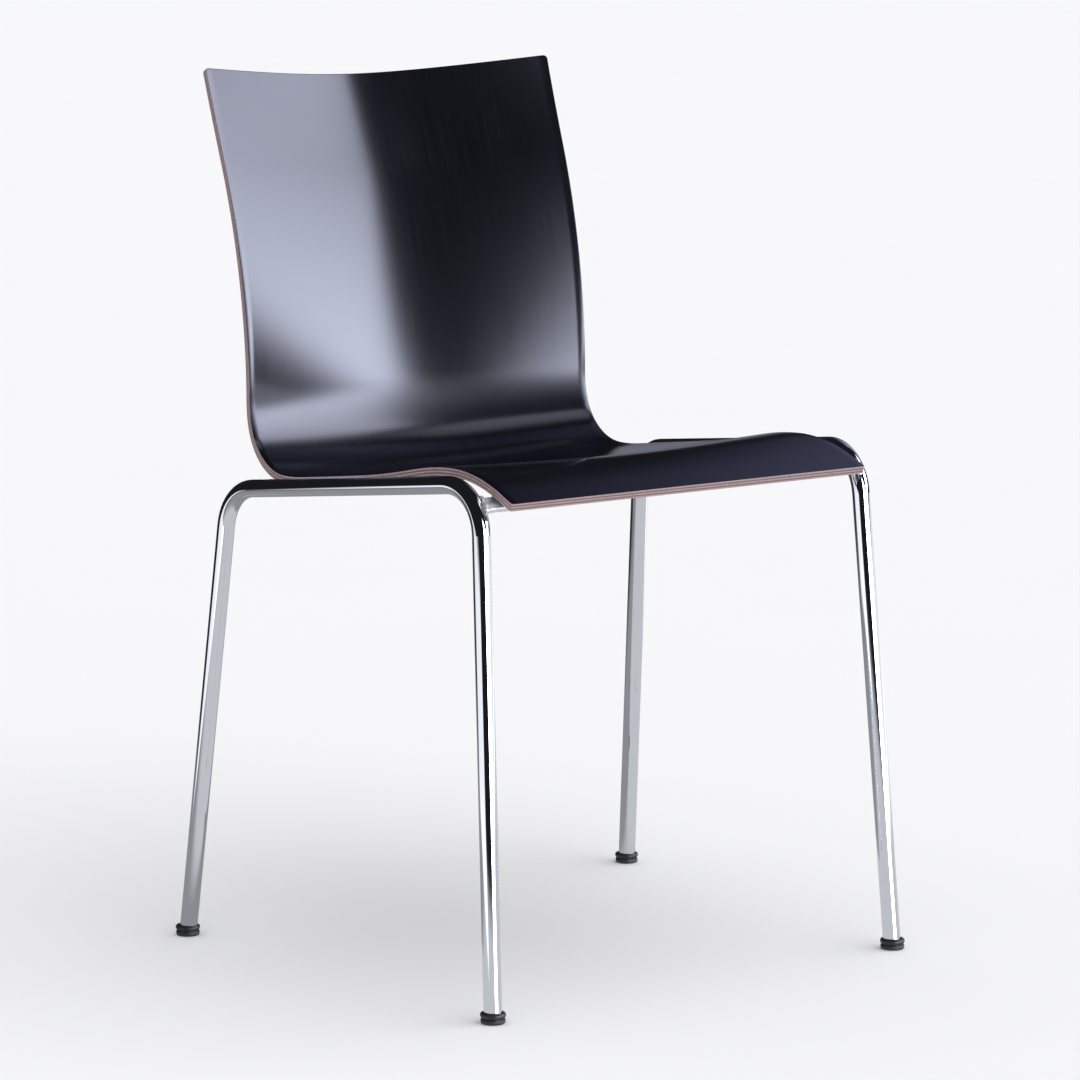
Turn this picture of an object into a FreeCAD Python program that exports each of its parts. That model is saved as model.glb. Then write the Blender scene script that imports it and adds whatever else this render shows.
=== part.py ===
import FreeCAD, Part
import os
from collections import namedtuple
from math import cos, pi, radians, sin, sqrt, tan

# Stacking chair: a moulded plywood shell on two bent steel side frames.
# Millimetres. +X runs across the chair, the sitter faces -Y, +Z is up, the floor is z = 0.
# Shapes are built with y = 0 midway between the front and rear feet. The last step slides them
# along Y so that the origin lies on the floor under the centre of the chair's overall box.

V = FreeCAD.Vector
ACROSS = V(1, 0, 0)
UP = V(0, 0, 1)
SIDES = (("left", -1), ("right", 1))

# ---------------------------------------------------------------- driving dimensions
# Side frame: one tube bent into front leg, seat rail and rear leg
TUBE_D = 16.0
TUBE_WALL = 1.5
BEND_RADIUS = 42.0
FRONT_FOOT = V(225.5, -215.5, 0)
FRONT_CORNER = V(210.5, -178.0, 458.5)
REAR_CORNER = V(236.0, 169.0, 417.5)
REAR_FOOT = V(256.0, 215.5, 0)
TUBE_END_Z = 7.0

# Cross rod under the front edge of the seat
ROD_D = 8.0
ROD_Y, ROD_Z = -181.0, 437.5

# Shell: half widths of the sitter's face, then the layers through its thickness
FRONT_HALF_WIDTH = 196.8
WAIST_HALF_WIDTH = 192.8
TOP_HALF_WIDTH = 195.0
WAIST_AT = 440.0
FACE_T = 0.35
VENEER_T = 1.38
VENEER_COUNT = 5
# Side edge of the face: its front end (y, z) and slope, then the (length, turn in degrees) of each
# tangent stretch from the front edge to the top
SHELL_FRONT = (-204.5, 443.4)
SHELL_FRONT_SLOPE = 22.6
SHELL_STRETCHES = (
    (20.5, 0.0),
    (74.5, -24.9),
    (46.0, -9.1),
    (28.5, 0.0),
    (72.0, 4.1),
    (84.5, 0.0),
    (30.5, 7.5),
    (70.0, 73.9),
    (21.0, 16.0),
    (224.0, -19.3),
    (86.5, 2.2),
)
# (length along the edge, depth) of the hollow across the shell, measured at its middle
SHELL_HOLLOW = ((0.0, 0.0), (115.0, 5.0), (350.0, 11.0), (450.0, 18.0), (758.0, 46.0))
HOLLOW_ROUNDING = 100.0
# The side edges of the back are bevelled: millimetres inwards per millimetre of depth
EDGE_BEVEL = 0.27
BEVEL_START, BEVEL_END = 355.0, 470.0
TOP_CORNER_R = 4.0
FRONT_CORNER_R = 2.5
STATION_STEP = 14.0
ACROSS_STEPS = 12

# Fixings between shell and frame, right-hand side: screw (x, length along the edge), the stub's free
# end, and the point on the tube's axis that the stub points at
FRONT_FIXING = (173.0, 37.0, V(187.0, -171.0, 441.2), V(210.5, -171.0, 441.2))
REAR_FIXING = (176.0, 346.0, V(199.0, 157.0, 420.6), V(235.0, 150.0, 417.3))
LUG_STUB_D = 8.4
LUG_PLATE_T = 3.0
LUG_PLATE_W = 18.0
LUG_ROOT = 3.0
PAD_T = 1.0
PAD_D = 16.0
SCREW_D = 6.0
SCREW_HOLE_D = 6.6
SCREW_HEAD_D = 10.5
SCREW_HEAD_H = 3.3
SCREW_TIP_GAP = 0.6
HEX_SOCKET = 4.0
HEX_DEPTH = 2.0
WASHER_D = 12.0
WASHER_T = 1.0
INSERT_D = 9.0
INSERT_DEPTH = 3.8
WELD_LEG = 2.0

# Glides
GLIDE_D = 22.4
GLIDE_TOP_Z = 9.8
GLIDE_COLLAR_Z = 4.9
GLIDE_SOLE_H = 4.3
GLIDE_NECK_D = 18.8
GLIDE_ROUND = 2.3
SOLE_D = 21.6
SOLE_ROUND = 2.0
SOLE_TOP_ROUND = 1.2
PLUG_LENGTH = 22.0
PLUG_D = 10.0
PLUG_RIB_T = 1.6
PLUG_RIB_PITCH = 4.5
PLUG_RIBS = 4

SHELL_T = 2 * FACE_T + VENEER_COUNT * VENEER_T
SHELL_LENGTH = sum(length for length, turn in SHELL_STRETCHES)

Lug = namedtuple("Lug", "name side screw_x along stub_end tube_point")
FIXINGS = (("front", FRONT_FIXING), ("rear", REAR_FIXING))
LUGS = [Lug(f"{end}_{name}", side, *fixing) for end, fixing in FIXINGS for name, side in SIDES]


# ---------------------------------------------------------------- the shell's surface
def smooth_step(value, low, high):
    ratio = min(1.0, max(0.0, (value - low) / (high - low)))
    return ratio * ratio * (3 - 2 * ratio)


def edge_point(along):
    """Point (y, z) and heading of the shell's side edge at a length from the front edge."""
    (y, z), heading = SHELL_FRONT, radians(SHELL_FRONT_SLOPE)
    left = along
    for length, turn in SHELL_STRETCHES:
        run = min(left, length)
        change = radians(turn) * run / length
        chord = run if abs(change) < 1e-9 else 2 * run / change * sin(change / 2)
        y += chord * cos(heading + change / 2)
        z += chord * sin(heading + change / 2)
        heading += change
        left -= run
        if left <= 0:
            break
    return y, z, heading


def hollow_depth(along):
    """Depth of the hollow at the middle of the shell, eased from each driving point to the next."""
    points = SHELL_HOLLOW
    slopes = [(b[1] - a[1]) / (b[0] - a[0]) for a, b in zip(points, points[1:])]
    tangents = [slopes[0]] + [(m + n) / 2 for m, n in zip(slopes, slopes[1:])] + [slopes[-1]]
    index = max(i for i in range(len(slopes)) if along >= points[i][0])
    (start, low), (end, high) = points[index], points[index + 1]
    span = end - start
    r = (along - start) / span
    return ((2 * r**3 - 3 * r**2 + 1) * low + (r**3 - 2 * r**2 + r) * span * tangents[index]
            + (3 * r**2 - 2 * r**3) * high + (r**3 - r**2) * span * tangents[index + 1])


def half_width(along):
    """Half width of the top face: narrowest at the waist, wider to both ends."""
    if along < WAIST_AT:
        ratio, end = (WAIST_AT - along) / WAIST_AT, FRONT_HALF_WIDTH
    else:
        ratio, end = (along - WAIST_AT) / (SHELL_LENGTH - WAIST_AT), TOP_HALF_WIDTH
    return WAIST_HALF_WIDTH + (end - WAIST_HALF_WIDTH) * ratio**2


def wing(across):
    """Rise of the hollow from the middle: rounded at the middle, nearly straight at the wings."""
    return sqrt(across**2 + HOLLOW_ROUNDING**2) - HOLLOW_ROUNDING


def shell_point(along, share, depth):
    """Point of the shell: length along, share of the half width (-1 to 1), depth under the top face."""
    y, z, heading = edge_point(along)
    bevel = EDGE_BEVEL * smooth_step(along, BEVEL_START, BEVEL_END)
    half = half_width(along)
    x = share * (half - bevel * depth)
    hollow = hollow_depth(along)
    sink = hollow * (1 - wing(x) / wing(half))
    slope = hollow * x / sqrt(x**2 + HOLLOW_ROUNDING**2) / wing(half)
    sink += depth * sqrt(1 + slope**2)
    return V(x, y + sink * sin(heading), z - sink * cos(heading))


def shell_normal(along, share, depth):
    """Unit normal of the shell pointing out of its underside or back."""
    step = 0.5
    forward = shell_point(along + step, share, depth) - shell_point(along - step, share, depth)
    small = step / half_width(along)
    across = shell_point(along, share + small, depth) - shell_point(along, share - small, depth)
    return across.cross(forward).normalize().negative()


def stations():
    """Lengths along the shell at which its cross sections are taken, with every arc's ends."""
    marks, start = [0.0], 0.0
    for length, turn in SHELL_STRETCHES:
        pieces = max(1, round(length / STATION_STEP), round(abs(turn) / 10))
        marks += [start + length * (i + 1) / pieces for i in range(pieces)]
        start += length
    return marks


def shell_surface(depth):
    """Smooth surface of the shell at one depth under the sitter's face."""
    shares = [-1 + 2 * i / ACROSS_STEPS for i in range(ACROSS_STEPS + 1)]
    rows = [[shell_point(along, share, depth) for share in shares] for along in stations()]
    surface = Part.BSplineSurface()
    surface.interpolate(rows)
    return surface


def layer_solid(top, bottom):
    """Closed solid between two of the shell's surfaces."""
    faces = [top.toShape(), bottom.toShape()]
    borders = []
    for surface in (top, bottom):
        u0, u1, v0, v1 = surface.bounds()
        borders.append([surface.uIso(u0), surface.uIso(u1), surface.vIso(v0), surface.vIso(v1)])
    for upper, lower in zip(*borders):
        faces.append(Part.makeRuledSurface(upper.toShape(), lower.toShape()))
    shell = Part.Shell(Part.makeCompound(faces).Faces)
    shell.sewShape()
    solid = Part.Solid(shell)
    if solid.Volume < 0:
        solid.reverse()
    return solid


def corner_cutters():
    """Blocks that round the four corners of the shell, each square to the shell at its corner."""
    cutters = []
    for along, radius, way in ((0.0, FRONT_CORNER_R, 1), (SHELL_LENGTH, TOP_CORNER_R, -1)):
        inner = along + way * radius
        for side in (-1, 1):
            share = side * (1 - radius / half_width(inner))
            centre = shell_point(inner, share, SHELL_T / 2)
            out = shell_normal(inner, share, SHELL_T / 2)
            sideways = shell_point(inner, side, 0) - shell_point(inner, share, 0)
            sideways = (sideways - out * sideways.dot(out)).normalize()
            endways = out.cross(sideways)
            if endways.dot(shell_point(along, share, 0) - shell_point(inner, share, 0)) < 0:
                endways = endways.negative()
            reach = 3 * radius
            base = centre - out * SHELL_T
            corners = [base, base + sideways * reach, base + (sideways + endways) * reach,
                       base + endways * reach, base]
            block = Part.Face(Part.makePolygon(corners)).extrude(out * 2 * SHELL_T)
            pin = Part.makeCylinder(radius, 2 * SHELL_T, base, out)
            cutters.append(block.cut(pin))
    return cutters


# ---------------------------------------------------------------- bent bars and tubes
def bent_path(points, radius):
    """Wire of straight runs joined by tangent arcs of one radius."""
    edges, start = [], points[0]
    for before, corner, after in zip(points, points[1:], points[2:]):
        back = (before - corner).normalize()
        ahead = (after - corner).normalize()
        half_opening = back.getAngle(ahead) / 2
        setback = radius / tan(half_opening)
        first, last = corner + back * setback, corner + ahead * setback
        bisector = (back + ahead).normalize()
        middle = corner + bisector * (radius / sin(half_opening) - radius)
        edges.append(Part.LineSegment(start, first).toShape())
        edges.append(Part.Arc(first, middle, last).toShape())
        start = last
    edges.append(Part.LineSegment(start, points[-1]).toShape())
    return Part.Wire(edges)


def round_bar(path, diameter):
    edge = path.Edges[0]
    start = edge.valueAt(edge.FirstParameter)
    heading = edge.tangentAt(edge.FirstParameter)
    circle = Part.Wire(Part.Circle(start, heading, diameter / 2).toShape())
    return path.makePipeShell([circle], True, False)


def mirrored(point, side):
    return V(side * point.x, point.y, point.z)


def leg_axis(foot, corner, z):
    return foot + (corner - foot) * (z / corner.z)


def frame_points(side):
    points = (leg_axis(FRONT_FOOT, FRONT_CORNER, TUBE_END_Z), FRONT_CORNER, REAR_CORNER,
              leg_axis(REAR_FOOT, REAR_CORNER, TUBE_END_Z))
    return [mirrored(point, side) for point in points]


def frame_bar(side, diameter):
    return round_bar(bent_path(frame_points(side), BEND_RADIUS), diameter)


def side_frame(side):
    return frame_bar(side, TUBE_D).cut(frame_bar(side, TUBE_D - 2 * TUBE_WALL))


def cross_rod():
    half = FRONT_CORNER.x
    return Part.makeCylinder(ROD_D / 2, 2 * half, V(-half, ROD_Y, ROD_Z), ACROSS)


# ---------------------------------------------------------------- fixings
def screw_place(lug):
    """Point on the shell's underside over a screw, and the direction out of the shell."""
    share = lug.side * lug.screw_x / half_width(lug.along)
    return shell_point(lug.along, share, SHELL_T), shell_normal(lug.along, share, SHELL_T)


def disc(centre, axis, start, end, diameter):
    """Cylinder on an axis, from one distance along it to another."""
    return Part.makeCylinder(diameter / 2, end - start, centre + axis * start, axis)


def ring(centre, axis, start, end, diameter):
    """Disc with the screw's clearance hole through it."""
    hole = disc(centre, axis, start - 1, end + 1, SCREW_HOLE_D)
    return disc(centre, axis, start, end, diameter).cut(hole)


def seat_lug(lug, frame_solid):
    """Round stub welded to the side frame, with a drilled plate from its end to the screw."""
    centre, out = screw_place(lug)
    end, tube_point = mirrored(lug.stub_end, lug.side), mirrored(lug.tube_point, lug.side)
    outward = (tube_point - end).normalize()
    stub = Part.makeCylinder(LUG_STUB_D / 2, end.distanceToPoint(tube_point), end, outward)
    dome = Part.makeSphere(LUG_STUB_D / 2, end)
    top = centre + out * PAD_T
    root = end + outward * LUG_ROOT
    root = root - out * (root - top).dot(out)
    cross = out.cross((root - top).normalize())
    wide = cross * (LUG_PLATE_W / 2)
    narrow = cross * (LUG_STUB_D / 2)
    outline = Part.makePolygon([top + wide, root + narrow, root - narrow, top - wide, top + wide])
    plate = Part.Face(outline).extrude(out * LUG_PLATE_T)
    eye = disc(top, out, 0, LUG_PLATE_T, LUG_PLATE_W)
    hole = disc(top, out, -1, LUG_PLATE_T + 1, SCREW_HOLE_D)
    return stub.fuse([dome, plate, eye]).removeSplitter().cut(hole).cut(frame_solid)


def seat_pad(lug, sheet):
    """Pad between the lug and the shell, trimmed to the shell's underside."""
    centre, out = screw_place(lug)
    return ring(centre, out, 0, PAD_T, PAD_D).cut(sheet)


def insert_pocket(lug):
    centre, out = screw_place(lug)
    return disc(centre, out, -INSERT_DEPTH, 2, INSERT_D)


def seat_insert(lug):
    """Sleeve let into the shell from below, open towards the screw."""
    centre, out = screw_place(lug)
    body = disc(centre, out, -INSERT_DEPTH, 0, INSERT_D)
    return body.cut(disc(centre, out, -INSERT_DEPTH, 0, SCREW_D))


def seat_washer(lug):
    centre, out = screw_place(lug)
    start = PAD_T + LUG_PLATE_T
    return ring(centre, out, start, start + WASHER_T, WASHER_D)


def seat_screw(lug):
    """Button-head screw with a hexagon socket, driven from below."""
    centre, out = screw_place(lug)
    seat = PAD_T + LUG_PLATE_T + WASHER_T
    crown = seat + SCREW_HEAD_H
    shank = disc(centre, out, SCREW_TIP_GAP - INSERT_DEPTH, seat, SCREW_D)
    head = disc(centre, out, seat, crown, SCREW_HEAD_D)
    rims = [edge for edge in head.Edges if edge.Closed]
    rim = max(rims, key=lambda edge: (edge.CenterOfMass - centre).dot(out))
    head = head.makeFillet(SCREW_HEAD_H * 0.7, [rim])
    floor = centre + out * (crown - HEX_DEPTH)
    first = out.cross(ACROSS).normalize()
    second = out.cross(first)
    reach = HEX_SOCKET / sqrt(3)
    corners = [floor + (first * cos(i * pi / 3) + second * sin(i * pi / 3)) * reach for i in range(7)]
    socket = Part.Face(Part.makePolygon(corners)).extrude(out * HEX_DEPTH * 1.5)
    return shank.fuse(head).removeSplitter().cut(socket)


def weld_bead(bar, bar_d, axis_start, axis_end, frame_solid):
    """Hollow-faced fillet of weld metal round a bar where its axis enters the frame tube."""
    inside = Part.LineSegment(axis_start, axis_end).toShape().common(frame_solid)
    foot = min((vertex.Point for vertex in inside.Vertexes), key=axis_start.distanceToPoint)
    outward = (axis_start - axis_end).normalize()
    radius = bar_d / 2 + WELD_LEG
    bead = disc(foot, outward, -1.5 * WELD_LEG, WELD_LEG, 2 * radius)
    hollow = Part.makeTorus(radius, WELD_LEG, foot + outward * WELD_LEG, outward)
    return bead.cut(hollow).cut(frame_solid).cut(bar)


# ---------------------------------------------------------------- glides
def foot_axis(front, side):
    foot, corner = (FRONT_FOOT, FRONT_CORNER) if front else (REAR_FOOT, REAR_CORNER)
    foot, corner = mirrored(foot, side), mirrored(corner, side)
    return foot, (corner - foot).normalize()


def glide_collar(front, side):
    """Moulded collar that the tube stands in, with a ribbed plug pressed into the tube."""
    foot, axis = foot_axis(front, side)
    base = foot + UP * GLIDE_COLLAR_Z
    collar = Part.makeCylinder(GLIDE_D / 2, GLIDE_TOP_Z - GLIDE_COLLAR_Z, base, UP)
    collar = collar.makeFillet(GLIDE_ROUND, [edge for edge in collar.Edges if edge.Closed])
    tube_end = foot + axis * (TUBE_END_Z / axis.z)
    collar = collar.cut(Part.makeCylinder(TUBE_D / 2, PLUG_LENGTH, tube_end, axis))
    neck_low = foot + UP * GLIDE_SOLE_H
    neck = Part.makeCylinder(GLIDE_NECK_D / 2, TUBE_END_Z - 2 - GLIDE_SOLE_H, neck_low, UP)
    plug = disc(foot, axis, GLIDE_COLLAR_Z + 1, GLIDE_COLLAR_Z + 1 + PLUG_LENGTH, PLUG_D)
    ribs = []
    for i in range(PLUG_RIBS):
        start = TUBE_END_Z + 3 + PLUG_RIB_PITCH * i
        ribs.append(disc(foot, axis, start, start + PLUG_RIB_T, TUBE_D - 2 * TUBE_WALL))
    return collar.fuse([neck, plug] + ribs).removeSplitter()


def glide_sole(front, side):
    foot, axis = foot_axis(front, side)
    sole = Part.makeCylinder(SOLE_D / 2, GLIDE_SOLE_H, foot, UP)
    for radius, pick in ((SOLE_ROUND, min), (SOLE_TOP_ROUND, max)):
        rims = [edge for edge in sole.Edges if edge.Closed]
        sole = sole.makeFillet(radius, [pick(rims, key=lambda edge: edge.CenterOfMass.z)])
    return sole


# ---------------------------------------------------------------- the whole chair
def shell_layers():
    """The face sheets and veneers of the shell, named from the sitter's side downwards."""
    depths = [0.0, FACE_T] + [FACE_T + VENEER_T * (i + 1) for i in range(VENEER_COUNT)] + [SHELL_T]
    names = ["front_face_sheet"] + [f"core_veneer_{i + 1}" for i in range(VENEER_COUNT)]
    names.append("rear_face_sheet")
    surfaces = [shell_surface(depth) for depth in depths]
    cutters = corner_cutters()
    pockets = [insert_pocket(lug) for lug in LUGS]
    layers = {}
    for name, top, bottom in zip(names, surfaces, surfaces[1:]):
        layers[name] = layer_solid(top, bottom).cut(cutters).cut(pockets)
    return layers


def build():
    parts = shell_layers()
    bars = {side: frame_bar(side, TUBE_D) for name, side in SIDES}
    rod = cross_rod()
    parts["cross_rod"] = rod.cut(list(bars.values()))
    beads = []
    for name, side in SIDES:
        parts[f"{name}_side_frame"] = side_frame(side)
        end = V(side * FRONT_CORNER.x, ROD_Y, ROD_Z)
        beads.append(weld_bead(rod, ROD_D, V(0, ROD_Y, ROD_Z), end, bars[side]))
    for lug in LUGS:
        solid = seat_lug(lug, bars[lug.side])
        parts[f"{lug.name}_seat_lug"] = solid
        parts[f"{lug.name}_seat_pad"] = seat_pad(lug, parts["rear_face_sheet"])
        end, tube_point = mirrored(lug.stub_end, lug.side), mirrored(lug.tube_point, lug.side)
        bead = weld_bead(solid, LUG_STUB_D, end, tube_point, bars[lug.side])
        beads.append(bead.cut([rod] + beads))
    parts["weld_beads"] = Part.makeCompound(beads)
    parts["seat_inserts"] = Part.makeCompound([seat_insert(lug) for lug in LUGS])
    parts["seat_washers"] = Part.makeCompound([seat_washer(lug) for lug in LUGS])
    parts["seat_screws"] = Part.makeCompound([seat_screw(lug) for lug in LUGS])
    for end in ("front", "rear"):
        for name, side in SIDES:
            parts[f"{end}_{name}_glide_collar"] = glide_collar(end == "front", side)
            parts[f"{end}_{name}_glide_sole"] = glide_sole(end == "front", side)
    return parts


def centre_shift():
    """Slide along Y that brings the middle of the chair's overall box over the origin."""
    foremost = FRONT_FOOT.y - GLIDE_D / 2
    rearmost = shell_point(SHELL_LENGTH, 0, SHELL_T).y
    return V(0, -(foremost + rearmost) / 2, 0)


os.makedirs("parts", exist_ok=True)
shift = centre_shift()
for node, shape in build().items():
    shape.translate(shift)
    shape.exportStep(f"parts/{node}.step")
    print(f"{node:26s} solids {len(shape.Solids)} valid {shape.isValid()} volume {shape.Volume:9.0f}")
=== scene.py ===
import bpy
import numpy as np
from math import cos, pi, radians, sin, sqrt
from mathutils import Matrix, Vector


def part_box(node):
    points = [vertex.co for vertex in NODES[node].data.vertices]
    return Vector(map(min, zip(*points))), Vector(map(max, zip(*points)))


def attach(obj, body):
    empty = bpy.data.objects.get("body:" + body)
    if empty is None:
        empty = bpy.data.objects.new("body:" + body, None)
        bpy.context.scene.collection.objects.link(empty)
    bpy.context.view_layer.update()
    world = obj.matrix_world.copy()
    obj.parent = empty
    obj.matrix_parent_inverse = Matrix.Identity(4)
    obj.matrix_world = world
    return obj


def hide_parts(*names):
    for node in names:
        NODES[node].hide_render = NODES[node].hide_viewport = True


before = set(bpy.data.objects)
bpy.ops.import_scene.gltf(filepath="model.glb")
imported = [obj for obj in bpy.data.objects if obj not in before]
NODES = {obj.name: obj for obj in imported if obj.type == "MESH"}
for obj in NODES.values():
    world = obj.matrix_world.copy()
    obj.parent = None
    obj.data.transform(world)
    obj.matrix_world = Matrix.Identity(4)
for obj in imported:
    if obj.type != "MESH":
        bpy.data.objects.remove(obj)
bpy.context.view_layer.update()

scene = bpy.context.scene
BODY = "root"

# ---------------------------------------------------------------- camera
VIEW_AZIMUTH, VIEW_ELEVATION = -37.0, 8.69
VIEW_TARGET = Vector((-0.0131, -0.0449, 0.3710))
VIEW_DISTANCE = 4.3439
FOCAL_IN_WIDTHS = 4.45463        # focal length over the sensor's width
SENSOR_WIDTH = 36

camera_data = bpy.data.cameras.new("camera")
camera_data.sensor_width = SENSOR_WIDTH
camera_data.lens = SENSOR_WIDTH * FOCAL_IN_WIDTHS
camera = bpy.data.objects.new("camera", camera_data)
scene.collection.objects.link(camera)
azimuth, elevation = radians(VIEW_AZIMUTH), radians(VIEW_ELEVATION)
towards_camera = Vector((
    sin(azimuth) * cos(elevation),
    -cos(azimuth) * cos(elevation),
    sin(elevation),
))
camera.location = VIEW_TARGET + towards_camera * VIEW_DISTANCE
camera.rotation_euler = (-towards_camera).to_track_quat("-Z", "Y").to_euler()
scene.camera = camera

# ---------------------------------------------------------------- the shell's surface (metres)
# The side edge runs from the seat's front to the top of the back, as stretches that each
# have a length in millimetres and a turn in degrees, positive upwards.
STRETCHES = (
    (20.5, 0.0), (74.5, -24.9), (46.0, -9.1), (28.5, 0.0), (72.0, 4.1), (84.5, 0.0),
    (30.5, 7.5), (70.0, 73.9), (21.0, 16.0), (224.0, -19.3), (86.5, 2.2),
)
START = (-0.2045, 0.4434)        # y and z of the seat's front edge
START_SLOPE = 22.6
SMOOTHING = 8                    # millimetres over which the edge line's curvature eases
STEPS_PER_MM = 4

# Length along the shell, and how far its middle lies under its side edges there.
HOLLOW = ((0.0, 0.0), (0.115, 0.005), (0.350, 0.011), (0.450, 0.018), (0.758, 0.046))
HOLLOW_ROUNDING = 0.100
FRONT_HALF, WAIST_HALF, TOP_HALF, WAIST_AT = 0.1968, 0.1928, 0.1950, 0.440
EDGE_BEVEL, BEVEL_START, BEVEL_END = 0.27, 0.355, 0.470
FRONT_CORNER_R, TOP_CORNER_R = 0.0025, 0.004
ARRIS_R = 0.0006

FACE_T, VENEER_T, VENEERS = 0.00035, 0.00138, 5
SHELL_T = 2 * FACE_T + VENEERS * VENEER_T
SHELL_LENGTH = sum(length for length, turn in STRETCHES) / 1000


def edge_line():
    """The side edge at fine steps: length along it, y, z and heading in radians."""
    lengths = np.linspace(0, SHELL_LENGTH, round(SHELL_LENGTH * 1000) * STEPS_PER_MM + 1)
    knots = np.cumsum([0] + [length / 1000 for length, turn in STRETCHES])
    turns = START_SLOPE + np.cumsum([0] + [turn for length, turn in STRETCHES])
    heading = np.radians(np.interp(lengths, knots, turns))
    window = 2 * SMOOTHING * STEPS_PER_MM + 1
    padded = np.pad(heading, window // 2, mode="edge")
    heading = np.convolve(padded, np.ones(window) / window, "valid")
    middle = (heading[1:] + heading[:-1]) / 2
    step = lengths[1]
    y = START[0] + np.concatenate(([0], np.cumsum(np.cos(middle) * step)))
    z = START[1] + np.concatenate(([0], np.cumsum(np.sin(middle) * step)))
    return lengths, y, z, heading


EDGE_AT, EDGE_Y, EDGE_Z, EDGE_HEADING = edge_line()


def hollow_depth(along):
    """Depth of the hollow at those lengths, a smooth curve through the points of HOLLOW."""
    points = np.array(HOLLOW)
    slopes = np.diff(points[:, 1]) / np.diff(points[:, 0])
    tangents = np.concatenate(([slopes[0]], (slopes[1:] + slopes[:-1]) / 2, [slopes[-1]]))
    index = np.clip(np.searchsorted(points[:, 0], along, side="right") - 1, 0, len(slopes) - 1)
    span = points[index + 1, 0] - points[index, 0]
    r = (along - points[index, 0]) / span
    start = (2 * r**3 - 3 * r**2 + 1) * points[index, 1]
    leaving = (r**3 - 2 * r**2 + r) * span * tangents[index]
    end = (3 * r**2 - 2 * r**3) * points[index + 1, 1]
    arriving = (r**3 - r**2) * span * tangents[index + 1]
    return start + leaving + end + arriving


def half_width(along):
    """Half of the shell's width at those lengths: two parabolas that meet at the waist."""
    towards_front = (FRONT_HALF - WAIST_HALF) * ((WAIST_AT - along) / WAIST_AT) ** 2
    towards_top = (TOP_HALF - WAIST_HALF) * ((along - WAIST_AT) / (SHELL_LENGTH - WAIST_AT)) ** 2
    return WAIST_HALF + np.where(along < WAIST_AT, towards_front, towards_top)


def wing(across):
    """Rise of the cross-section away from the middle, round there and straight further out."""
    return np.sqrt(across**2 + HOLLOW_ROUNDING**2) - HOLLOW_ROUNDING


def ease(value, low, high):
    """0 up to low, 1 from high, and a smooth rise between them."""
    ratio = np.clip((value - low) / (high - low), 0, 1)
    return ratio * ratio * (3 - 2 * ratio)


def shell_points(along, share, depth, inset):
    """Points of the shell, from arrays of lengths and shares of the half width (-1 to 1)."""
    y, z, heading = (np.interp(along, EDGE_AT, line) for line in (EDGE_Y, EDGE_Z, EDGE_HEADING))
    bevel = EDGE_BEVEL * ease(along, BEVEL_START, BEVEL_END)
    half = half_width(along)
    x = share * (half - bevel * depth - inset)
    hollow = hollow_depth(along)
    sink = hollow * (1 - wing(x) / wing(half))
    slope = hollow * x / np.sqrt(x**2 + HOLLOW_ROUNDING**2) / wing(half)
    sink = sink + depth * np.sqrt(1 + slope**2)
    return np.stack([x, y + sink * np.sin(heading), z - sink * np.cos(heading)], -1)


# The design is drawn with y = 0 midway between the feet, so it slides to where the frame has it.
top_y = shell_points(np.array([SHELL_LENGTH]), np.array([0.0]), SHELL_T, 0.0)[0, 1]
SLIDE_Y = max(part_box("rear_face_sheet")[1].y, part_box("core_veneer_5")[1].y) - top_y

# Smoothing can leave the edge line's top end above the frame's own sheet, so it sinks to it.
excess = max(0.0, EDGE_Z[-1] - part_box("front_face_sheet")[1].z)
EDGE_Z = EDGE_Z - excess * (EDGE_AT / SHELL_LENGTH) ** 2

CORNER_STEPS = 6
LENGTH_STEPS, ACROSS_STEPS = 150, 48
LAYER_STEPS = 3
SHARP_ANGLE = radians(35)


def arris_inset(depth):
    """How far the worn arrises of the two faces stand in from the cut edge."""
    near = min(depth, SHELL_T - depth)
    if near >= ARRIS_R:
        return 0.0
    return ARRIS_R - sqrt(ARRIS_R**2 - (ARRIS_R - near) ** 2)


def sheet_grid(depth):
    """Grid of points over one layer boundary, with rounded corners, and their lengths along."""
    inset = arris_inset(depth)
    front_r, top_r = FRONT_CORNER_R - inset, TOP_CORNER_R - inset
    swing = [radians(90 * i / CORNER_STEPS) for i in range(CORNER_STEPS + 1)]
    rows = [(inset + front_r * (1 - cos(a)), front_r * (1 - sin(a))) for a in swing]
    start, end = inset + front_r, SHELL_LENGTH - inset - top_r
    rows += [(start + (end - start) * i / LENGTH_STEPS, 0.0) for i in range(1, LENGTH_STEPS)]
    top = SHELL_LENGTH - inset
    rows += [(top - top_r * (1 - cos(a)), top_r * (1 - sin(a))) for a in reversed(swing)]
    along = np.array([row[0] for row in rows])[:, None]
    narrower = inset + np.array([row[1] for row in rows])[:, None]
    share = np.linspace(-1, 1, ACROSS_STEPS + 1)[None, :]
    along, share = np.broadcast_arrays(along, share)
    points = shell_points(along, share, depth, narrower)
    points[..., 1] += SLIDE_Y
    return points, along


def border(rows, columns):
    """Indices of a grid's outline, once round."""
    line = [(0, c) for c in range(columns)]
    line += [(r, columns - 1) for r in range(1, rows)]
    line += [(rows - 1, c) for c in range(columns - 2, -1, -1)]
    line += [(r, 0) for r in range(rows - 2, 0, -1)]
    return [r * columns + c for r, c in line]


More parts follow.
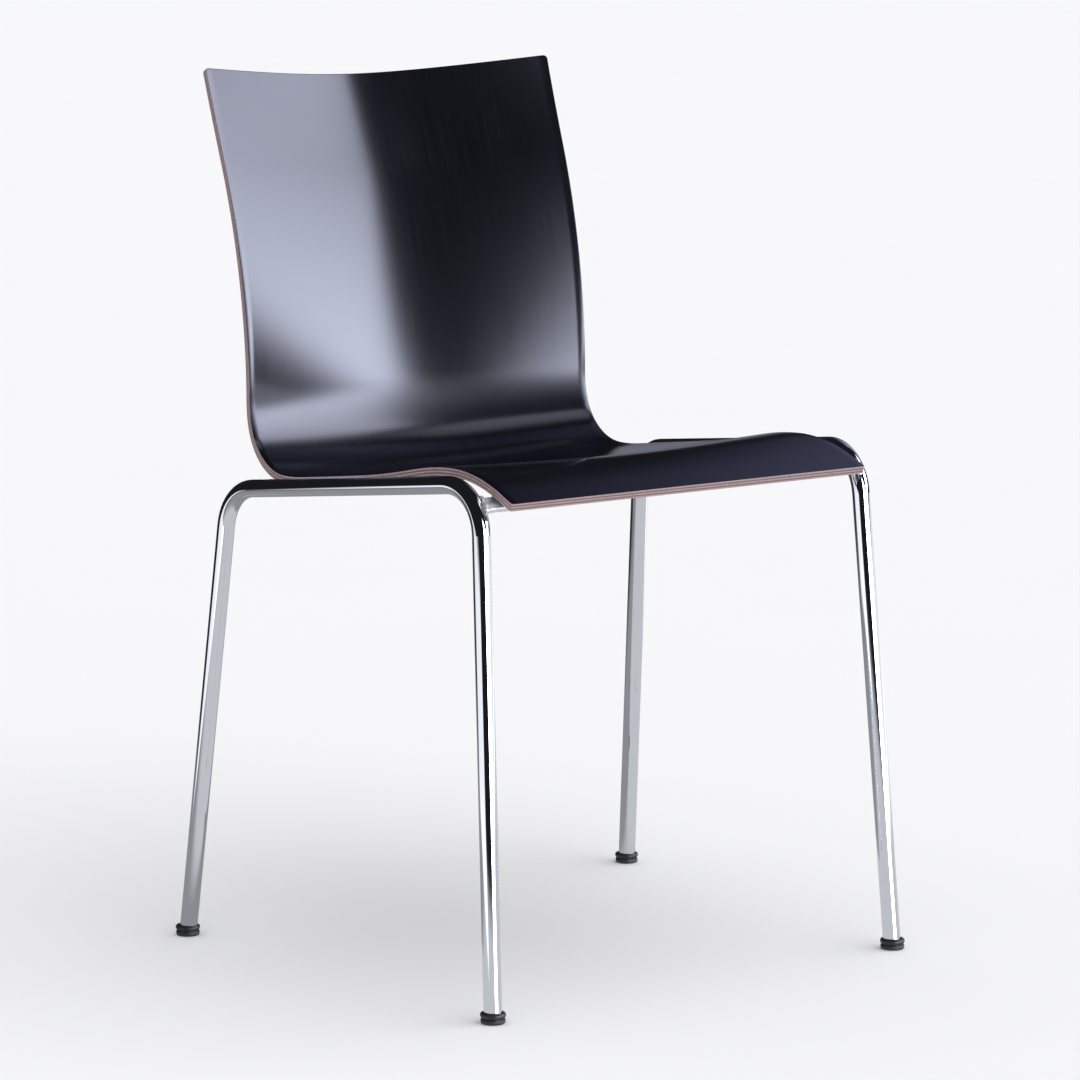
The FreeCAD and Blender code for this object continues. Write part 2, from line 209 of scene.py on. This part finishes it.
def layer_mesh(name, depths):
    """Closed mesh from the first depth under the sitter's face to the last, ringed at the others."""
    grids = [sheet_grid(depth) for depth in depths]
    rows, columns = grids[0][0].shape[:2]
    outline = border(rows, columns)
    points, lengths, levels, rings = [], [], [], []
    base = 0
    for depth, (grid, along) in zip(depths, grids):
        flat, flat_along = grid.reshape(-1, 3), along.reshape(-1)
        if depth in (depths[0], depths[-1]):
            rings.append([base + k for k in outline])
        else:
            rings.append([base + k for k in range(len(outline))])
            flat, flat_along = flat[outline], flat_along[outline]
        points.append(flat)
        lengths.append(flat_along)
        levels.append(np.full(len(flat), depth))
        base += len(flat)
    last = base - rows * columns
    faces = []
    for r in range(rows - 1):
        for c in range(columns - 1):
            a, b = r * columns + c, r * columns + c + 1
            d, e = a + columns, b + columns
            faces.append((a, b, e, d))
            faces.append((last + a, last + d, last + e, last + b))
    for upper, lower in zip(rings, rings[1:]):
        for k in range(len(upper)):
            n = (k + 1) % len(upper)
            faces.append((upper[k], lower[k], lower[n], upper[n]))
    mesh = bpy.data.meshes.new(name)
    mesh.from_pydata(np.concatenate(points).tolist(), [], faces)
    mesh.update()
    for key, values in (("along", lengths), ("depth", levels)):
        attribute = mesh.attributes.new(key, "FLOAT", "POINT")
        attribute.data.foreach_set("value", np.concatenate(values).astype(np.float32))
    mesh.shade_smooth()
    mesh.set_sharp_from_angle(angle=SHARP_ANGLE)
    return mesh


def layer(name, node, top, bottom):
    """One layer of the plywood, which takes the place of the frame's node."""
    depths = [top + (bottom - top) * i / LAYER_STEPS for i in range(LAYER_STEPS + 1)]
    piece = bpy.data.objects.new(name, layer_mesh(name, depths))
    scene.collection.objects.link(piece)
    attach(piece, BODY)
    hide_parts(node)
    return piece


def build_shell():
    """All the layers by name, from the sitter's face to the rear face."""
    built = {"front_face": layer("shell_front_face", "front_face_sheet", 0.0, FACE_T)}
    for i in range(VENEERS):
        top = FACE_T + i * VENEER_T
        built[f"veneer_{i + 1}"] = layer(
            f"shell_veneer_{i + 1}", f"core_veneer_{i + 1}", top, top + VENEER_T)
    built["rear_face"] = layer(
        "shell_rear_face", "rear_face_sheet", SHELL_T - FACE_T, SHELL_T)
    return built


shell = build_shell()

# ---------------------------------------------------------------- materials
# Length along the shell at the bend's middle, reach to either side, and added roughness.
BEND_AT, HAZE_REACH, HAZE = 0.436, 0.026, 0.08
CHROME_TINT = (0.82, 0.83, 0.85)
SATIN_TINT = (0.78, 0.79, 0.81)
WELD_TINT = (0.70, 0.71, 0.73)
ZINC_TINT = (0.58, 0.58, 0.56)


class Shader:
    """Small helper that builds a node material."""

    def __init__(self, name):
        self.material = bpy.data.materials.new(name)
        self.material.use_nodes = True
        self.tree = self.material.node_tree
        self.surface = self.tree.nodes["Principled BSDF"]

    def node(self, kind, **settings):
        """A new node, with each setting on the input of that name or else on the node itself."""
        made = self.tree.nodes.new(kind)
        for key, value in settings.items():
            if key in made.inputs:
                made.inputs[key].default_value = value
            else:
                setattr(made, key, value)
        return made

    def link(self, source, target):
        self.tree.links.new(source, target)

    def set(self, **values):
        """Fixed values of the surface, with _ for each space in a socket's name."""
        for key, value in values.items():
            self.surface.inputs[key.replace("_", " ")].default_value = value

    def coordinates(self, scale):
        """Place in the object's own metres, scaled."""
        mapping = self.node("ShaderNodeMapping")
        mapping.inputs["Scale"].default_value = scale
        self.link(self.node("ShaderNodeTexCoord").outputs["Object"], mapping.inputs["Vector"])
        return mapping.outputs["Vector"]

    def sheet_coordinates(self, scale):
        """Place on the shell: across it, along it and through its thickness."""
        joined = self.node("ShaderNodeCombineXYZ")
        across = self.node("ShaderNodeSeparateXYZ")
        self.link(self.node("ShaderNodeTexCoord").outputs["Object"], across.inputs[0])
        self.link(across.outputs["X"], joined.inputs["X"])
        for name, axis in (("along", "Y"), ("depth", "Z")):
            value = self.node("ShaderNodeAttribute", attribute_name=name)
            self.link(value.outputs["Fac"], joined.inputs[axis])
        mapping = self.node("ShaderNodeMapping")
        mapping.inputs["Scale"].default_value = scale
        self.link(joined.outputs[0], mapping.inputs["Vector"])
        return mapping.outputs["Vector"]

    def noise(self, scale, detail=4.0, roughness=0.55, on_sheet=False):
        """Noise of 0 to 1 that is scaled per metre, on the sheet's own directions or the object's."""
        made = self.node("ShaderNodeTexNoise", Scale=1.0, Detail=detail, Roughness=roughness)
        source = self.sheet_coordinates(scale) if on_sheet else self.coordinates(scale)
        self.link(source, made.inputs["Vector"])
        return made.outputs["Fac"]

    def ramp(self, source, stops):
        """Colours by value, from stops that are each a position and a colour."""
        made = self.node("ShaderNodeValToRGB")
        elements = made.color_ramp.elements
        while len(elements) < len(stops):
            elements.new(0.5)
        for element, (position, colour) in zip(elements, stops):
            element.position = position
            element.color = (*colour, 1)
        self.link(source, made.inputs["Fac"])
        return made.outputs["Color"]

    def spread(self, source, low, high):
        """A 0 to 1 value spread to low to high."""
        made = self.node("ShaderNodeMapRange")
        made.inputs["To Min"].default_value = low
        made.inputs["To Max"].default_value = high
        self.link(source, made.inputs["Value"])
        return made.outputs["Result"]

    def bend_haze(self, roughness):
        """The lacquer is a little hazier in the tight bend between the seat and the back."""
        along = self.node("ShaderNodeAttribute", attribute_name="along")
        offset = self.node("ShaderNodeMath", operation="SUBTRACT")
        offset.inputs[1].default_value = BEND_AT
        self.link(along.outputs["Fac"], offset.inputs[0])
        away = self.node("ShaderNodeMath", operation="ABSOLUTE")
        self.link(offset.outputs[0], away.inputs[0])
        haze = self.node("ShaderNodeMapRange", interpolation_type="SMOOTHSTEP")
        for key, value in (("From Min", HAZE_REACH), ("From Max", 0.0), ("To Min", 0.0), ("To Max", HAZE)):
            haze.inputs[key].default_value = value
        self.link(away.outputs[0], haze.inputs["Value"])
        total = self.node("ShaderNodeMath", operation="ADD")
        self.link(roughness, total.inputs[0])
        self.link(haze.outputs["Result"], total.inputs[1])
        return total.outputs[0]

    def bump(self, source, distance, strength):
        made = self.node("ShaderNodeBump", Distance=distance, Strength=strength)
        self.link(source, made.inputs["Height"])
        return made.outputs["Normal"]

    def multiply(self, first, second):
        """Two colours multiplied."""
        made = self.node("ShaderNodeMix", data_type="RGBA", blend_type="MULTIPLY")
        made.inputs[0].default_value = 1.0
        self.link(first, made.inputs[6])
        self.link(second, made.inputs[7])
        return made.outputs[2]

    def base(self, source):
        self.link(source, self.surface.inputs["Base Color"])

    def rough(self, source):
        self.link(source, self.surface.inputs["Roughness"])

    def normal(self, source):
        self.link(source, self.surface.inputs["Normal"])


def face_sheet(name):
    """Blue-black stained veneer under satin lacquer; its fine grain runs along the shell."""
    shader = Shader(name)
    grain = shader.noise((620, 11, 1), detail=6.0, roughness=0.62, on_sheet=True)
    figure = shader.noise((42, 2.0, 1), detail=3.0, on_sheet=True)
    shade = shader.ramp(grain, [(0.30, (0.0030, 0.0030, 0.0055)), (0.70, (0.0075, 0.0075, 0.0130))])
    broad = shader.ramp(figure, [(0.25, (0.80, 0.80, 0.86)), (0.75, (1.0, 1.0, 1.0))])
    shader.base(shader.multiply(shade, broad))
    shader.rough(shader.bend_haze(shader.spread(grain, 0.13, 0.19)))
    shader.normal(shader.bump(grain, 0.00003, 0.40))
    shader.set(IOR=1.52)
    return shader.material


def veneer(name, long_grain, dark, light):
    """Cut edge of one veneer: fibres along the edge or open end grain, lightly lacquered."""
    shader = Shader(name)
    if long_grain:
        grain = shader.noise((260, 40, 2600), detail=5.0, on_sheet=True)
        flecks = shader.noise((900, 260, 900), detail=3.0)
    else:
        grain = shader.noise((700, 700, 700), detail=6.0)
        flecks = shader.noise((2200, 2200, 2200), detail=2.0)
    tint = shader.ramp(grain, [(0.30, dark), (0.72, light)])
    pores = shader.ramp(flecks, [(0.38, (0.78, 0.74, 0.74)), (0.55, (1.0, 1.0, 1.0))])
    shader.base(shader.multiply(tint, pores))
    shader.rough(shader.spread(flecks, 0.38, 0.58))
    shader.normal(shader.bump(flecks, 0.00004, 0.5))
    return shader.material


def metal(name, colour, low, high, smear=140, bump=0.0, metallic=1.0):
    """Metal of that colour and roughness range, with its marks at smear to the metre."""
    shader = Shader(name)
    wipe = shader.noise((smear, smear, smear), detail=5.0)
    shader.base(shader.ramp(wipe, [(0.25, tuple(c * 0.965 for c in colour)), (0.75, colour)]))
    shader.rough(shader.spread(wipe, low, high))
    shader.set(Metallic=metallic)
    if bump:
        shader.normal(shader.bump(wipe, bump, 0.5))
    return shader.material


def moulded(name, colour, low, high):
    """Matt moulded plastic or rubber with a fine grit and faint scuffs."""
    shader = Shader(name)
    grain = shader.noise((2600, 2600, 2600), detail=3.0)
    scuff = shader.noise((160, 160, 160), detail=5.0)
    shader.base(shader.ramp(scuff, [(0.3, tuple(c * 0.8 for c in colour)), (0.75, colour)]))
    shader.rough(shader.spread(scuff, low, high))
    shader.normal(shader.bump(grain, 0.00003, 0.5))
    return shader.material


def nodes_of(ending):
    return [name for name in NODES if name.endswith(ending)]


def paint(material, *names):
    """Gives the material to layers of the shell or nodes of the frame."""
    for name in names:
        thing = shell.get(name) or NODES.get(name)
        if not thing.material_slots:
            thing.data.materials.append(material)
        for place in thing.material_slots:
            place.material = material


paint(face_sheet("face_sheet_lacquer"), "front_face", "rear_face")
light_edge = veneer("long_grain_edge", True, (0.42, 0.31, 0.31), (0.60, 0.46, 0.46))
dark_edge = veneer("cross_grain_edge", False, (0.17, 0.105, 0.105), (0.29, 0.20, 0.20))
paint(light_edge, "veneer_1", "veneer_3", "veneer_5")
paint(dark_edge, "veneer_2", "veneer_4")
chrome = metal("polished_chrome", CHROME_TINT, 0.020, 0.050)
satin = metal("satin_chrome", SATIN_TINT, 0.22, 0.34, smear=900, metallic=0.55)
weld = metal("weld_chrome", WELD_TINT, 0.22, 0.36, smear=900, bump=0.0002, metallic=0.6)
zinc = metal("zinc_plate", ZINC_TINT, 0.28, 0.42, smear=1500, bump=0.00005)
rubber = moulded("rubber", (0.030, 0.030, 0.032), 0.62, 0.78)
nylon = moulded("nylon", (0.022, 0.022, 0.025), 0.38, 0.52)
worn_nylon = moulded("nylon_sole", (0.028, 0.028, 0.030), 0.50, 0.66)
paint(chrome, "left_side_frame", "right_side_frame")
paint(satin, "cross_rod", *nodes_of("_seat_lug"))
paint(weld, "weld_beads")
paint(zinc, "seat_inserts", "seat_washers", "seat_screws")
paint(rubber, *nodes_of("_seat_pad"))
paint(nylon, *nodes_of("_glide_collar"))
paint(worn_nylon, *nodes_of("_glide_sole"))

# ---------------------------------------------------------------- floor, lights and surroundings
PALE = (0.87, 0.87, 0.88)
COOL = (0.76, 0.80, 1.0)
COOLER = (0.52, 0.56, 1.0)
PALE_BLUE = (0.93, 0.95, 1.0)
SKY = (0.68, 0.68, 0.69)
DARK_ROOM = (0.012, 0.012, 0.014)
FLOOR_RADIUS, FLOOR_SIDES = 60.0, 96

# The mirrored floor: its nearest and furthest radius, the radii at which it has gone dark in
# general and on its dark side, and its level near the chair on each, over a faint rest.
NEAREST, FURTHEST = 0.02, 3.2
DARK_FROM, DARK_SIDE_FROM = 2.9, 1.9
NEAR_LEVEL, DARK_SIDE_LEVEL, REST_LEVEL = 0.64, 0.30, 0.015
FALL_STARTS = 0.40               # share of the way to the dark at which the level starts to fall
DARK_SIDE = -165                 # azimuth at which the mirrored floor is darkest
UNDER_FLOOR = -0.001
HARD = 1e-4                      # share over which a border that doesn't fade still eases

# Points from which the glows are laid out by azimuth and elevation.
BACK = (0, 0.15, 0.60)
FRONT_LEG = (-0.22, -0.26, 0.25)
SEAT = (0, 0, 0.46)


def staged(name, points, faces, material):
    """A piece of the set, which isn't part of the object."""
    mesh = bpy.data.meshes.new(name)
    mesh.from_pydata(points, [], faces)
    mesh.materials.append(material)
    piece = bpy.data.objects.new(name, mesh)
    scene.collection.objects.link(piece)
    return piece


def add_floor():
    shader = Shader("pale_floor")
    shade = shader.noise((3, 3, 3), detail=2.0)
    shader.base(shader.ramp(shade, [(0.3, tuple(c * 0.995 for c in PALE)), (0.7, PALE)]))
    shader.set(Roughness=0.9, Specular_IOR_Level=0.0)
    turns = [2 * pi * i / FLOOR_SIDES for i in range(FLOOR_SIDES)]
    rim = [(FLOOR_RADIUS * cos(a), FLOOR_RADIUS * sin(a), 0) for a in turns]
    floor = staged("floor", rim, [tuple(range(FLOOR_SIDES))], shader.material)
    floor.visible_glossy = False


def glow(name, colour):
    """Light added to whatever lies behind, as strong as the mesh's own level says."""
    shader = Shader(name)
    shader.tree.nodes.remove(shader.surface)
    level = shader.node("ShaderNodeAttribute", attribute_name="level")
    light = shader.node("ShaderNodeEmission", Color=(*colour, 1))
    both = shader.node("ShaderNodeAddShader")
    shader.link(level.outputs["Fac"], light.inputs["Strength"])
    shader.link(shader.node("ShaderNodeBsdfTransparent").outputs[0], both.inputs[0])
    shader.link(light.outputs[0], both.inputs[1])
    shader.link(both.outputs[0], shader.tree.nodes["Material Output"].inputs["Surface"])
    return shader.material


def reflector(name, points, levels, colour):
    """Glowing grid that only polished surfaces see: neither the camera nor matt surfaces do."""
    rows, columns = levels.shape
    faces = [(r * columns + c, r * columns + c + 1, (r + 1) * columns + c + 1, (r + 1) * columns + c)
             for r in range(rows - 1) for c in range(columns - 1)]
    piece = staged(name, points.reshape(-1, 3).tolist(), faces, glow(name + "_glow", colour))
    attribute = piece.data.attributes.new("level", "FLOAT", "POINT")
    attribute.data.foreach_set("value", levels.reshape(-1).astype(np.float32))
    piece.visible_camera = False
    piece.visible_diffuse = False
    piece.visible_transmission = False
    piece.visible_volume_scatter = False
    piece.visible_shadow = False


def softbox(name, origin, distance, corners, levels, soft, colour, steps=36):
    """Four-cornered glow at a distance from a point.

    Its corners are (azimuth, elevation) in degrees: low left, low right, high right and high
    left, and levels has one value for each. Soft is the share that fades at its left, right,
    low and high border."""
    u, v = np.meshgrid(np.linspace(0, 1, steps + 1), np.linspace(0, 1, steps + 1))
    weights = ((1 - u) * (1 - v), u * (1 - v), u * v, (1 - u) * v)
    turn = np.radians(sum(w * corner[0] for w, corner in zip(weights, corners)))
    rise = np.radians(sum(w * corner[1] for w, corner in zip(weights, corners)))
    ray = np.stack([np.sin(turn) * np.cos(rise), -np.cos(turn) * np.cos(rise), np.sin(rise)], -1)
    left, right, low, high = (max(width, HARD) for width in soft)
    fade = ease(u, 0, left) * ease(1 - u, 0, right) * ease(v, 0, low) * ease(1 - v, 0, high)
    level = fade * sum(w * value for w, value in zip(weights, levels))
    reflector(name, np.array(origin) + distance * ray, level, colour)


def add_mirrored_floor():
    """The floor as polished surfaces see it: light round the chair, dark far off and behind it."""
    reach, turn = np.meshgrid(np.linspace(NEAREST, FURTHEST, 33),
                              np.radians(np.linspace(-180, 180, 73)), indexing="ij")
    height = np.full(reach.shape, UNDER_FLOOR)
    points = np.stack([reach * np.sin(turn), -reach * np.cos(turn), height], -1)
    behind = ease(np.cos(turn - radians(DARK_SIDE)), 0.1, 0.6)
    end = DARK_FROM + (DARK_SIDE_FROM - DARK_FROM) * behind
    near = NEAR_LEVEL + (DARK_SIDE_LEVEL - NEAR_LEVEL) * behind
    level = near * (1 - ease(reach, FALL_STARTS * end, end)) + REST_LEVEL
    reflector("mirrored_floor", points, level, PALE_BLUE)


add_floor()
add_mirrored_floor()
softbox("right_glow", BACK, 8.0, corners=((30, -12), (91, 22), (91, 46), (47, 40)),
        levels=(23.0, 1.6, 2.2, 5.5), soft=(0.11, 0.12, 0.14, 0.16), colour=COOL)
softbox("front_glow", BACK, 8.0, corners=((-4, -18), (37, -18), (0.5, 32), (-4, 32)),
        levels=(17, 17, 10, 10), soft=(0.12, 0.26, 0.10, 0.35), colour=COOL)
softbox("high_glow", BACK, 8.0, corners=((24, 39), (68, 41), (70, 58), (30, 58)),
        levels=(3.0, 0.5, 0.4, 2.0), soft=(0.20, 0.30, 0.20, 0.40), colour=COOL)
softbox("rear_glow", SEAT, 1.1, corners=((88, 8), (136, 8), (136, 60), (88, 60)),
        levels=(0.95, 0.80, 0.36, 0.36), soft=(0.10, 0.92, 0.20, 0.20), colour=COOLER)
softbox("crest_glow", SEAT, 2.6, corners=((120, -4), (170, -4), (170, 3), (120, 3)),
        levels=(0.5, 0.5, 0.5, 0.5), soft=(0.10, 0.10, 0.30, 0.60), colour=COOL)
softbox("right_strip", FRONT_LEG, 2.1, corners=((27, -9), (128, -9), (128, 4), (27, 4)),
        levels=(0.95, 1.0, 1.0, 0.95), soft=(0.03, 0.08, 0.10, 0.30), colour=PALE_BLUE)
softbox("left_strip", FRONT_LEG, 2.1, corners=((-146, -12), (-66, -12), (-66, 4), (-140, 4)),
        levels=(1.05, 1.15, 1.15, 1.05), soft=(0.05, 0.08, 0.10, 0.20), colour=PALE_BLUE)


def sun(name, direction, power, spread):
    """Very broad, soft sun of that strength and angle, not seen in reflections."""
    light = bpy.data.lights.new(name, "SUN")
    light.energy = power
    light.angle = radians(spread)
    lamp = bpy.data.objects.new(name, light)
    lamp.rotation_euler = Vector(direction).to_track_quat("-Z", "Y").to_euler()
    lamp.visible_glossy = False
    scene.collection.objects.link(lamp)


sun("soft_sun", (-0.35, 0.45, -1.0), 1.45, 80)


def surround(sky, mirrored):
    """Even sky that lights matt surfaces, and a dark room as polished surfaces see it."""
    world = bpy.data.worlds.new("surroundings")
    scene.world = world
    world.use_nodes = True
    tree = world.node_tree
    tree.nodes.clear()
    path = tree.nodes.new("ShaderNodeLightPath")
    mix = tree.nodes.new("ShaderNodeMixShader")
    out = tree.nodes.new("ShaderNodeOutputWorld")
    tree.links.new(path.outputs["Is Glossy Ray"], mix.inputs[0])
    for colour, socket in ((sky, mix.inputs[1]), (mirrored, mix.inputs[2])):
        background = tree.nodes.new("ShaderNodeBackground")
        background.inputs["Color"].default_value = (*colour, 1)
        tree.links.new(background.outputs[0], socket)
    tree.links.new(mix.outputs[0], out.inputs["Surface"])


surround(SKY, DARK_ROOM)
scene.view_settings.view_transform = "Standard"
